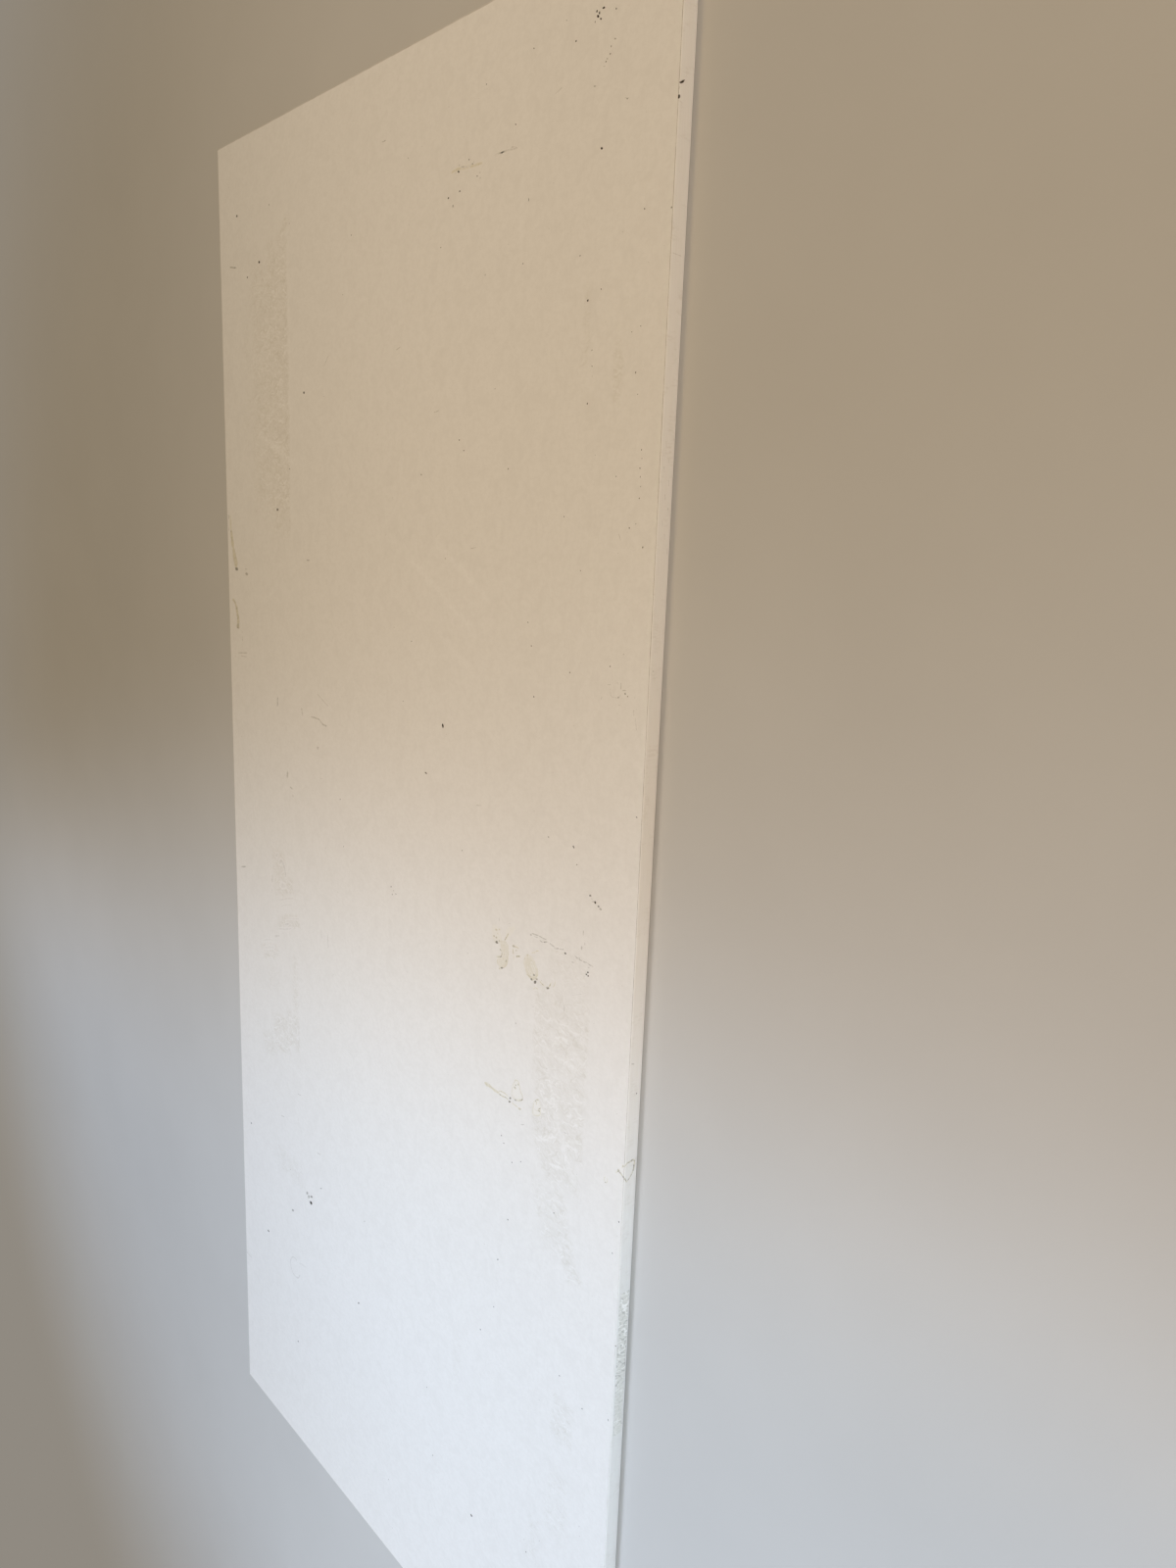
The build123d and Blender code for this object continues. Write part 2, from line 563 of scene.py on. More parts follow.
def make_band(node, side, along_y, material, seed):
    outer = skin_x if along_y else skin_y
    inner = (board_width if along_y else board_length) / 2 + glue_width / 2
    half = skin_y if along_y else board_width / 2 - glue_width / 2
    breath, breathes = wander(seed, 310, 127, 53), 0.07
    sections = []
    for along, turned in stations(half, rounded=along_y):
        ring = []
        for out, up in section(inner, outer, arris * (1 + breathes * breath(along)), turned):
            if node == "edge_band_right":
                out -= knocked(out, up, along, outer)
            ring.append((side * out, along, up) if along_y else (along, side * out, up))
        sections.append(ring)
    band = make_piece(node + "_dressed", *loft(sections), [material])
    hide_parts(node)


make_band("edge_band_right", 1, True, side_plastic, 11)
make_band("edge_band_left", -1, True, side_plastic, 12)
make_band("edge_band_top", 1, False, end_plastic, 13)
make_band("edge_band_bottom", -1, False, end_plastic, 14)

# %% [markdown]
# ### The glue line
# Hot-melt glue holds each band, and a thread of it squeezes out on both faces and takes up dirt. On the
# real panel it shows as a broken brownish line over the upper part of the long edge and nearly vanishes
# further down. The film is modelled whole, a fifth of a millimetre thick, with a low bead on each face
# whose width wanders, and its colour goes from brown to pale with the distance from the top.

# %% The glue finish and film
def glue_finish():
    material, tree, shader = new_finish("hot_melt_glue")
    place = surface_mm(tree)
    broken = mottle(tree, place, 9, detail=4)
    clean = spread(tree, axes(tree, place)["Y"], -80.0, -320.0, 0.12, 0.8)  # paler towards the bottom end
    share = maths(tree, "ADD", clean, sloped(tree, broken, 1.4, -0.7), clamp=True)
    colour = blend(tree, share, (0.20, 0.14, 0.09), (0.66, 0.63, 0.57))
    bumps = relief(tree, mottle(tree, place, 0.8), 0.03)
    set_look(tree, shader, colour, sloped(tree, broken, 0.3, 0.35), bumps)
    return material


def glue_film(side, along_y, seed):
    """The film between the board and one band, drawn through one section after the other."""
    middle = (board_width if along_y else board_length) / 2
    half = skin_y if along_y else board_width / 2 - glue_width / 2
    thin, neck, crown = glue_width / 2, 0.05, 0.03
    bead = wander(seed, 190, 71, 29, 17)
    sections = []
    for along, turned in stations(half, rounded=along_y, spacing=5.0):
        wide = thin * (2 + bead(along))
        under = arris * (1 - math.cos(turned))
        top = skin_z - under
        right = [(wide / 2, under), (wide, under + 0.01), (thin, under + neck)]
        right += [(thin, top - neck), (wide, top + 0.01), (wide / 2, top + crown)]
        ring = [(middle + w, z) for w, z in right] + [(middle - w, z) for w, z in reversed(right)]
        sections.append([(side * o, along, z) if along_y else (along, side * o, z) for o, z in ring])
    return loft(sections)


points, faces = [], []
for seed, (side, along_y) in enumerate(((1, True), (-1, True), (1, False), (-1, False)), start=21):
    more_points, more_faces = glue_film(side, along_y, seed)
    faces += [tuple(index + len(points) for index in face) for face in more_faces]
    points += more_points
make_piece("glue_line", points, faces, [glue_finish()])

# %% [markdown]
# ## What has dried, stuck and scratched
# Every mark on the panel is a thin skin on its surface. Marks near the right edge run on over the arris and
# down the band, so one helper measures from the left edge across the face and on round the corner: what is
# further from the left than the panel is wide lies on the edge. There are three kinds. A smear follows a few
# points read off the photograph and has its own width. A pool fills an outline, and because glue dries
# from its rim, the rim is thicker and darker; towards one side the rim is darker still, which is painted
# shade. A crumb is a small lump with a ragged outline.

# %% Helpers for marks
step = 1.2  # from point to point along a smear
tuck = 0.01  # how far the border of a mark lies under the surface


def on_skin(from_left, from_top, lift):
    """A point in millimetres on the face, the right arris or the right edge, lifted off the surface."""
    y = panel_length / 2 - from_top
    bend = panel_width - room - arris
    if from_left <= bend:
        return (max(from_left, room + arris) - panel_width / 2, y, skin_z + lift)
    angle = (from_left - bend) / arris
    if angle < math.pi / 2:
        reach = arris + lift
        return (skin_x - arris + reach * math.sin(angle), y, skin_z - arris + reach * math.cos(angle))
    down = from_left - bend - arris * math.pi / 2
    return (skin_x + lift, y, skin_z - arris - down)


def resample(route, spacing, loop):
    """The route as a smooth curve through its points, cut to even steps."""
    before = route[-1:] if loop else 2 * route[:1] - route[1:2]
    after = route[:2] if loop else 2 * route[-1:] - route[-2:-1]
    p = np.vstack([before, route, after])
    cuts, out = 12, []
    for k in range(1, len(p) - 2):
        a, b, c, d = p[k - 1 : k + 3]
        for t in np.linspace(0, 1, cuts, endpoint=False):
            bend = (2 * a - 5 * b + 4 * c - d) * t * t + (3 * b - a - 3 * c + d) * t ** 3
            out.append(0.5 * (2 * b + (c - a) * t + bend))
    out = np.array(out + [route[0] if loop else route[-1]])
    run = np.concatenate([[0], np.cumsum(np.hypot(*np.diff(out[:, :2], axis=0).T))])
    count = max(4, round(run[-1] / spacing) + 1)
    even = np.linspace(0, run[-1], count)[: -1 if loop else None]
    return np.stack([np.interp(even, run, out[:, k]) for k in range(3)], 1)


def turn_outwards(mesh):
    """Marks are open skins, so each face is turned to look up or out of the right edge."""
    work = bmesh.new()
    work.from_mesh(mesh)
    for face in work.faces:
        if face.normal.x + face.normal.z < 0:
            face.normal_flip()
    work.to_mesh(mesh)
    work.free()


# %% [markdown]
# A panel like this one carries hundreds of marks, and hundreds of objects would be slow. So one collector
# gathers the points and faces of all marks of one kind, with a tone for each point, and makes one mesh of
# them. The borders wander and the tones vary a little by the collector's own seeded draw, so no mark looks
# stamped.

# %% A collector for marks
class Marks:
    """Collects thin marks into one mesh. tone, from 0 to 1 at each point, is how dark the finish is there."""

    def __init__(self, seed):
        self.draw = random.Random(seed)
        self.points, self.faces, self.tones = [], [], []  # points in millimetres

    def point(self, from_left, from_top, lift, tone):
        """One point on the surface or lifted off it, with its tone."""
        self.points.append(on_skin(from_left, from_top, lift))
        self.tones.append(min(1.0, max(0.0, tone)))

    def band(self, first, second, count, loop=True):
        """Faces between two rows of points that start at the given indices."""
        for k in range(count if loop else count - 1):
            n = (k + 1) % count
            self.faces.append((first + k, first + n, second + n, second + k))

    def fan(self, first, count, tip):
        """Faces from a ring of points to its tip."""
        self.faces += [(first + k, first + (k + 1) % count, tip) for k in range(count)]

    def smear(self, route, width, middle, rim=None, height=0.08, loop=False):
        """A strip along a route; width is one number, or one for each point. Without a rim it fades out."""
        raggedness, blotchiness, blunt = 0.3, 0.35, 0.15  # shares of width, tone and width at the ends
        widths = [width] * len(route) if isinstance(width, (int, float)) else list(width)
        fine = resample(np.array([(x, y, w) for (x, y), w in zip(route, widths)], float), step, loop)
        count, start = len(fine), len(self.points)
        borders = [wander(self.draw.random(), 17, 7.3, 3.1) for _ in range(2)]
        blotch = wander(self.draw.random(), 13, 5.2, 2.7)
        soft = rim is None
        outer = 0.0 if soft else rim
        # share of the half width, share of the height, tone
        half = ((-1, 0, outer), (-0.75, 1, outer), (-0.3, 0.6, middle))
        columns = half + tuple((-across, lift, tone) for across, lift, tone in reversed(half))
        for across, lift, tone in columns:
            for k, (x, y, w) in enumerate(fine):
                before = fine[k - 1] if loop or k else fine[0]
                after = fine[(k + 1) % count] if loop or k < count - 1 else fine[k]
                tx, ty = after[0] - before[0], after[1] - before[1]
                size = math.hypot(tx, ty) or 1.0
                from_end = 1.0
                if not loop:
                    from_end = min(1.0, blunt + min(k, count - 1 - k) * step / max(0.7 * w, 0.8))
                ragged = 1 + raggedness * borders[across > 0](k * step)
                reach = across * w / 2 * math.sqrt(from_end) * ragged
                strength = tone * (1 + blotchiness * blotch(k * step)) * (from_end if soft else 1.0)
                strength *= self.draw.uniform(0.85, 1.15)
                self.point(x - ty / size * reach, y + tx / size * reach, lift * height or -tuck, strength)
        for column in range(len(columns) - 1):
            self.band(start + column * count, start + (column + 1) * count, count, loop)

    def pool(self, outline, middle, rim, shade_side=90.0, height=0.12):
        """A dried drop whose rim has painted shade, darkest on the side at the given angle, in degrees from
        right round by the bottom.
        """
        raggedness, spacing = 0.04, 1.0
        route = resample(np.array([(x, y, 0) for x, y in outline], float), spacing, loop=True)
        centre = route[:, :2].mean(axis=0)
        border = wander(self.draw.random(), 9.1, 4.3, 2.2)
        count, start = len(route), len(self.points)
        between = 0.5 * (rim + middle)
        # share of the outline, share of the height, tone
        rings = [(1.0, 0, rim), (0.93, 1, rim), (0.84, 0.7, between), (0.68, 0.45, middle)]
        rings += [(0.34, 0.5, middle)]
        for share, lift, tone in rings:
            for k, (x, y, _) in enumerate(route):
                dx, dy = x - centre[0], y - centre[1]
                # painted shade: the rim darkens towards the side that faces the given angle
                facing = math.cos(math.atan2(dy, dx) - math.radians(shade_side))
                painted_shade_and_blotch = 1.0 if tone == middle else 0.65 + 0.5 * max(0.0, facing) + 0.2 * border(k)
                ragged = share * (1 + raggedness * border(k))
                rise = lift * height or -tuck
                self.point(centre[0] + dx * ragged, centre[1] + dy * ragged, rise, tone * painted_shade_and_blotch)
        for ring in range(len(rings) - 1):
            self.band(start + ring * count, start + (ring + 1) * count, count)
        self.fan(start + (len(rings) - 1) * count, count, len(self.points))
        self.point(*centre, 0.5 * height, middle)

    def crumb(self, from_left, from_top, long, wide, turn=0.0, tone=0.8, height=0.1):
        """A small lump with a ragged outline, long by wide millimetres, turned by so many degrees."""
        start, corners = len(self.points), 10 if long > 1.5 else 6
        c, s = math.cos(math.radians(turn)), math.sin(math.radians(turn))
        for ring, lift in ((1.0, -tuck), (0.6, 0.8 * height)):
            for k in range(corners):
                angle = 2 * math.pi * k / corners
                ragged = ring * self.draw.uniform(0.75, 1.15)
                px, py = long / 2 * math.cos(angle) * ragged, wide / 2 * math.sin(angle) * ragged
                shade = tone * self.draw.uniform(0.75, 1.1)
                self.point(from_left + c * px - s * py, from_top + s * px + c * py, lift, shade)
        self.band(start, start + corners, corners)
        self.fan(start + corners, corners, len(self.points))
        self.point(from_left, from_top, height, tone)

    def make(self, name, material):
        """Turns all that was collected into one piece of the panel."""
        piece = make_piece(name, self.points, self.faces, [material], closed=False)
        tones = piece.data.attributes.new("tone", "FLOAT", "POINT")
        tones.data.foreach_set("value", self.tones)
        turn_outwards(piece.data)


# %% [markdown]
# The tone picks the colour: pale at 0, the middle colour at about a half, dark at 1. At the border of a soft
# mark the tone is 0, so its pale colour has to be that of the surface. Most marks come as rows of numbers,
# and two helpers lay a whole table of crumbs or of soft strokes.

# %% The finish of a mark, and rows of marks
def mark_finish(name, pale, middle, dark, roughness, gloss=0.4):
    """A finish that goes from pale to dark with the tone of the mark."""
    material, tree, shader = new_finish(name)
    tone = add(tree, "ShaderNodeAttribute", attribute_name="tone").outputs["Fac"]
    flecks = mottle(tree, surface_mm(tree), 1.4)
    tone = maths(tree, "MULTIPLY", tone, sloped(tree, flecks, 1.0, 0.5), clamp=True)
    colour = blend(tree, spread(tree, tone, 0.0, 0.55), pale, middle)
    colour = blend(tree, spread(tree, tone, 0.5, 1.0), colour, dark)
    dull = sloped(tree, flecks, 0.2, roughness - 0.1)
    set_look(tree, shader, colour, dull, relief(tree, flecks, 0.03), gloss)
    return material


def spots(marks, height, *rows):
    """Crumbs given as rows of: from left, from top, length, width, turn, tone."""
    for row in rows:
        marks.crumb(*row, height)


def lines(marks, height, *rows):
    """Soft strokes given as rows of: route, widths, tone."""
    for row in rows:
        marks.smear(*row, height=height)


# %% [markdown]
# ### Dried glue
# Yellowish glue has dried in a few places: a boot-shaped drop with two arms, a bean beside it with a thin
# run below, a stroke that ends in two small loops, a faint film near the top, two runs at the left edge, and
# a thread that loops over the arris and down the edge. Dry glue is nearly as pale as the decor, so the pools
# only tint it, and it is their dark spots, where dirt has stuck to the last wet places, that the eye finds.
# Each spot is a crumb of its own.

# %% The boot-shaped drop, its two arms and the wavy line inside
glue = Marks(31)
glue.pool([(711, 994), (717, 993), (723, 996), (727, 1001), (729, 1007), (725, 1012), (719, 1014.5),
           (712, 1011), (710, 1003)], 0.13, 0.22, 80, 0.08)
glue.smear([(738, 1002), (741, 995), (748, 989), (755, 985)], (6, 9, 8, 4), 0.13, 0.1, 0.05)
glue.pool([(727, 1009), (735, 1007), (741, 1009), (743, 1017), (742.5, 1027), (740.5, 1035), (735, 1041),
           (728, 1043), (723, 1040), (722, 1033), (727, 1028), (729, 1022), (727, 1016)], 0.27, 0.42, 30)
lines(
    glue, 0.12,
    ([(742, 995), (740, 999), (737, 1003), (734, 1007)], (2.2, 3.2, 3.4, 2.4), 0.66),
    ([(735, 1011), (735, 1018), (734, 1026), (733, 1034)], (2, 3, 3.4, 2), 0.42),
    ([(741, 1012), (741.5, 1021), (740, 1030)], (2, 2.8, 2.4), 0.55),
    ([(725, 1019.5), (729, 1021.5), (730.3, 1025), (728.5, 1028.5), (724, 1030),
      (719, 1031.5)], (2, 2.8, 3.2, 2.8, 2.4, 1.6), 0.72),
    ([(721.5, 1033), (722, 1041)], 3.2, 0.38),
)
spots(
    glue, 0.13,
    (718, 998, 6, 3.4, 0, 0.6), (724, 996, 3.4, 2.2, 0, 0.5), (714, 1007, 4.4, 2.6, 0, 0.66),
    (718.5, 1007.5, 4.6, 2.6, -10, 0.66), (724.5, 1010, 3.6, 2.4, 20, 0.7), (719.5, 1013, 6.6, 3.6, -5, 1),
    (721, 1002, 3.4, 1.8, 30, 0.45), (738.5, 1031, 6, 3.2, -62, 0.7), (731, 1041.7, 6.6, 3.2, -20, 1),
    (726, 1044.5, 4, 2.4, 0, 0.55), (733, 1013, 2.6, 1.8, 0, 0.5), (728, 1014, 2.4, 1.6, 0, 0.45),
)

# %% The bean and the thin run below it
glue.pool([(772.5, 1017), (776, 1011.5), (781, 1010), (788, 1011.5), (793, 1016), (797, 1022), (799, 1028),
           (797, 1032), (793, 1036), (789, 1039), (783, 1037.5), (777, 1033), (772.5, 1027),
           (771, 1021)], 0.3, 0.37, 70)
lines(
    glue, 0.12,
    ([(779, 1025), (783, 1030), (788, 1033)], (3, 4, 3), 0.36),
    ([(785, 1017), (790, 1024), (792, 1030)], (4, 6, 4), 0.3),
    ([(790.5, 1049.5), (794, 1046), (800, 1046)], 1.8, 0.4),
    ([(801.5, 1035), (806, 1037.5), (811, 1038.3)], (2.2, 3, 2.6), 0.55),
    ([(818, 1037.5), (820.5, 1034), (822, 1030)], (3.2, 3.2, 1.8), 0.55),
    ([(825, 1036), (828, 1031), (829.5, 1026)], (2.2, 2.4, 1.6), 0.42),
)
spots(
    glue, 0.14,
    (778.5, 1011.5, 4.4, 3.2, 0, 0.55), (774, 1017, 3.6, 2.6, 0, 0.55), (791, 1031.5, 4.6, 3.4, 0, 0.82),
    (787, 1038, 5.8, 3.2, 10, 0.88), (793.3, 1039.5, 6, 3.8, -25, 1), (796, 1035, 4.6, 3.2, 0, 0.7),
    (783, 1035.6, 8, 2.2, 5, 0.66), (779, 1035, 3.2, 1.8, 0, 0.55), (816.3, 1039, 6, 3.6, -15, 0.92),
)

# %% The small bent mark between them, with its dash and tick
lines(
    glue, 0.06,
    ([(752, 1008), (757, 1008), (763, 1008)], (3.6, 3.4, 2), 0.48),
    ([(751, 1011), (751.3, 1015), (752.5, 1019)], 3.4, 0.6),
    ([(752.5, 1019), (753, 1026)], 2.6, 0.34),
    ([(756, 1020), (760, 1018.6), (765.5, 1016.8)], (2.2, 3.8, 2.6), 0.72),
    ([(785, 1006.4), (789, 1005), (793, 1003.5)], 2.4, 0.4),
    ([(792, 1002.5), (795, 1001.3), (798.5, 999.8)], (2, 2.8, 2), 0.56),
)
spots(glue, 0.08, (752, 1008.3, 6, 3.6, 0, 0.75), (757, 1012.3, 3.6, 1.8, -20, 0.66))

# %% The stroke, whose middle is two thin lines, and its two small loops
glue.smear([(701.5, 1201.5), (706, 1202), (712, 1202), (718, 1202.5)], (4.6, 5, 5, 4.2), 0.54, 0.34, 0.12)
glue.smear([(717, 1202.5), (724, 1203.5), (732, 1203)], (4.2, 4.2, 3.6), 0.48, 0.3, 0.1)
glue.smear([(731, 1202), (741, 1201.7), (751, 1202.5)], (5, 6, 5), 0.1, 0.08, 0.05)
glue.pool([(758, 1181), (762, 1174), (767, 1172), (771, 1176), (772, 1183), (776, 1188), (778.5, 1193),
           (774, 1196.5), (767, 1199), (760, 1199), (756, 1195), (757, 1188)], 0.1, 0.34, 60, 0.06)
glue.pool([(797, 1188), (803, 1182), (808, 1182), (811, 1188), (811, 1198), (804, 1203),
           (797, 1203)], 0.11, 0.36, 60, 0.04)
knot = [(926 + 2.6 * math.cos(a), 1226 + 3.6 * math.sin(a)) for a in np.radians(range(-60, 250, 30))]
lines(
    glue, 0.1,
    ([(730, 1200.8), (736, 1199.4), (743, 1199), (750, 1200.5)], (2, 2.8, 2.6, 2.2), 0.56),
    ([(730, 1204.4), (738, 1204.6), (744, 1203.6), (750, 1204.8)], (2.4, 3.2, 2.6, 2.4), 0.62),
    ([(756, 1205), (762, 1206), (769, 1206.4)], 3.2, 0.42),
    ([(760.5, 1179), (762, 1174), (767.5, 1173), (770.5, 1177)], 2.6, 0.46),
    ([(770, 1196.6), (775, 1194.6), (777.6, 1191), (776, 1187.5)], (2.6, 3.4, 2.8, 1.6), 0.7),
    ([(800, 1186.5), (803, 1182.5), (808, 1180.3)], (1.8, 2.8, 2), 0.68),
    ([(803, 1183), (803, 1190.5)], 3.4, 0.44),
    ([(805.5, 1193.2), (809, 1191.3), (812, 1188.6)], (2.2, 3.2, 2), 0.7),
    ([(799, 1195), (803, 1196), (807, 1195)], 2.2, 0.38),
    ([(762, 1175), (758, 1181), (757, 1188), (756, 1195), (760, 1199)], 2.4, 0.34),
    ([(771, 1176), (772, 1183), (776, 1188), (778.5, 1193)], 2.6, 0.44),
    ([(797, 1204), (797, 1196), (798, 1188)], 2.4, 0.44),
    ([(810.5, 1187), (811, 1193), (811, 1200)], 2.2, 0.38),
    (knot, 1.7, 0.46),
)
spots(
    glue, 0.13,
    (753.3, 1201, 5, 2.8, -30, 0.95), (752.3, 1206, 5, 3, -25, 0.9), (772, 1207, 7, 3.2, -10, 0.62),
    (768.3, 1177, 4.2, 3.2, 0, 0.7), (763, 1180, 3.6, 2.4, 0, 0.66), (762, 1183.8, 6, 3.8, 10, 0.66),
    (763.5, 1199, 4.4, 2.8, 0, 0.85), (808, 1194.3, 4.4, 3.2, 0, 0.68), (925.6, 1229.6, 2.4, 1.6, 0, 0.8),
)

# %% The faint film near the top, and the two runs at the left edge
glue.smear([(603, 150.5), (615, 149), (630, 149.8), (645, 151),
            (663, 152)], (4, 6, 6.5, 6, 4), 0.38, height=0.01)
glue.smear([(12, 523), (13, 533), (14.2, 546)], (4, 5.5, 6), 0.34, 0.3, 0.04)
glue.smear([(14.2, 545), (15.5, 554), (17.5, 563), (20, 572)], (6, 8, 10, 10), 0.54, 0.5, 0.05)
glue.smear([(20, 572), (24, 584), (28, 594), (30.5, 603)], (8, 11, 13, 10), 0.46, 0.52, 0.06)
glue.smear([(12.5, 652.8), (18, 654.2), (23, 658), (26, 664), (29, 672), (31.5, 682),
            (31.5, 693)], (4, 4.5, 4, 6.5, 7, 8, 9), 0.54, 0.6, 0.06)
spots(glue, 0.1, (30.2, 604.8, 11, 5.6, 0, 0.9), (30.5, 694, 11.5, 9, 0, 0.7))

# %% The thread over the arris, with its tail and knot
loop = [(951.2, 1198.4), (952.6, 1197), (954.9, 1196.7), (955.8, 1194.6), (958.3, 1193.6), (962, 1193.5),
        (964.6, 1192.7), (966.7, 1193.1)]
loop += [(968.3, 1195.3), (967.7, 1199.3), (967.4, 1203.4), (966.6, 1206.4), (964.2, 1210.1),
         (961.3, 1213.3), (958.1, 1215.6)]
loop_widths = (1.6, 1.2, 1.2, 1.3, 1.7, 2.1, 2.1, 2.1, 1.7, 2, 2.1, 1.7, 1.2, 1.1, 1.2)
glue.smear(loop, loop_widths, 0.62, 0.68, 0.12)
glue.smear([(945.3, 1206.5), (947.5, 1207.3), (951.6, 1209.4), (954.8, 1211.2),
            (957.8, 1216.6)], (2.4, 1.8, 1.7, 1.8, 1.2), 0.66, 0.7, 0.12)
lines(
    glue, 0.06,
    ([(941, 1211), (943.5, 1207)], 3, 0.36),
    ([(950.3, 1201), (951.2, 1198), (951.8, 1195.5)], (2.2, 3.4, 2), 0.56),
)
spots(glue, 0.1, (944.8, 1206.2, 4.6, 3.4, -50, 0.78))

# %% Make the dried glue
pale_glue, yellow_glue, dirty_glue = (0.8, 0.785, 0.752), (0.66, 0.622, 0.508), (0.16, 0.148, 0.13)
glue.make("dried_glue_marks", mark_finish("dried_glue", pale_glue, yellow_glue, dirty_glue, 0.38))

# %% [markdown]
# ### Scratches, scuffs and smudges
# These are the thin lines: a broken brown scratch near the top, a chain of grey ticks, short strokes where
# a corner caught the face, a ring that something wet left, slanting strokes in the lower left strip and
# ticks on the band. They have next to no height and fade out at both sides, so their palest tone is the
# white of the decor.

# %% Straight strokes
scuffs = Marks(41)
thin = 0.02  # their height
# both ends as from left and from top, then width and tone
for x0, y0, x1, y1, wide, tone in (
    # the long scratch near the top
    (610, 152, 615, 152, 1.8, 0.3), (621.5, 147.6, 630.5, 148.8, 3.4, 0.4), (629, 149.2, 635, 149.8, 3, 0.29),
    (635.5, 149.8, 641, 150.4, 3, 0.24), (639, 148.2, 646, 149.3, 2.4, 0.22),
    (646, 149.3, 650.5, 150, 2.6, 0.2), (682, 149, 690, 149.8, 3.4, 0.26),
    (693, 148.6, 701, 148.6, 3.4, 0.26), (703, 150, 708, 150, 2.6, 0.2), (712, 147.2, 718, 147.8, 3.4, 0.56),
    (717, 147.6, 723, 150, 3, 0.6),
    # the chain of ticks beside the dried glue
    (784.5, 983, 798, 982, 3.6, 0.46), (797, 982.3, 812, 983, 3.2, 0.44), (788, 985.2, 797, 984.8, 2.8, 0.33),
    (798.5, 987, 806, 987.8, 3, 0.42), (805.5, 987.4, 813.5, 984.4, 3.4, 0.61),
    (816.5, 985, 828, 987.7, 3.6, 0.38), (824, 989, 834, 986.4, 3.2, 0.41), (833, 986.8, 843, 985, 3, 0.35),
    (859.5, 986.3, 867, 988.8, 3.4, 0.42), (865.5, 988.4, 874, 989, 3.8, 0.44),
    (873, 989, 882, 988.3, 3.6, 0.38), (880, 988.6, 892, 990.2, 3, 0.34), (854, 995.5, 861, 994.4, 4.4, 0.32),
    (882, 993.8, 885.4, 992.2, 2.6, 0.5), (882.8, 914.3, 886.5, 916.4, 2.6, 0.36),
    (883.5, 918.3, 889, 917, 2.2, 0.5), (873, 952.5, 872.8, 961.5, 4.2, 0.32),
    (876, 966, 876, 971.5, 3.6, 0.34), (871.2, 971.5, 871, 977.5, 5.4, 0.6), (846, 1049, 846, 1058, 2, 0.55),
    (723, 980, 723.6, 987, 3.4, 0.32), (740, 984, 746, 982, 3.4, 0.27), (857, 1034, 882, 1023, 3, 0.2),
    (774.5, 1226.3, 782.5, 1222.6, 2.2, 0.38), (852, 1201, 859, 1201, 2.4, 0.38),
    (783, 990, 787, 989, 1.6, 0.15),
    # single strokes on the face
    (33, 166, 56, 170, 4, 0.6), (20, 1090, 38, 1085, 5, 0.52), (162, 789, 161, 804.5, 2.8, 0.81),
    (258, 583, 268, 583, 3, 0.65), (313, 329, 327, 315, 2.4, 0.4), (310, 1122, 311, 1145, 3.6, 0.34),
    (290, 1120, 291, 1136, 3.2, 0.29), (285, 769, 317, 783, 2.4, 0.36), (652, 556, 664, 554, 2.4, 0.32),
    (672, 855, 684, 853, 2.4, 0.32), (781, 114, 793, 110, 2.2, 0.32), (458, 88, 468, 88, 2.4, 0.52),
    (491, 325, 502, 322, 2.2, 0.4), (574, 402, 586, 400, 2.2, 0.4), (269, 1496, 281, 1494, 2.6, 0.47),
    (207, 1421, 219, 1419, 2.6, 0.47), (148, 1484, 160, 1482, 2.6, 0.47), (744, 199, 745, 207, 1.8, 0.2),
    (901, 534, 905, 542, 1.8, 0.38), (838.5, 120.8, 843.5, 121.4, 2.2, 0.59), (883, 141, 890, 143, 2, 0.3),
    (276, 1555, 284, 1550, 4.4, 0.45), (886.8, 697, 885.4, 702, 2.6, 0.35),
    (894, 684.8, 899.5, 684, 2.4, 0.38), (899, 667.6, 910.5, 666, 1.7, 0.16), (281, 848, 289, 846, 3.8, 0.52),
    (197, 921, 207, 923.5, 3.8, 0.52), (179, 1641.5, 189, 1637.5, 8, 0.74), (2, 1815, 22, 1816, 1.6, 0.56),
    (865.6, 87.2, 869, 88.4, 1.8, 0.61), (851, 106.6, 855.5, 107.6, 1.8, 0.38),
    (911, 703.4, 916, 702.8, 1.8, 0.27),
):
    sagging = ((x0 + x1) / 2, (y0 + y1) / 2 + 0.3)
    scuffs.smear([(x0, y0), sagging, (x1, y1)], (0.7 * wide, wide, 0.8 * wide), tone, height=thin)

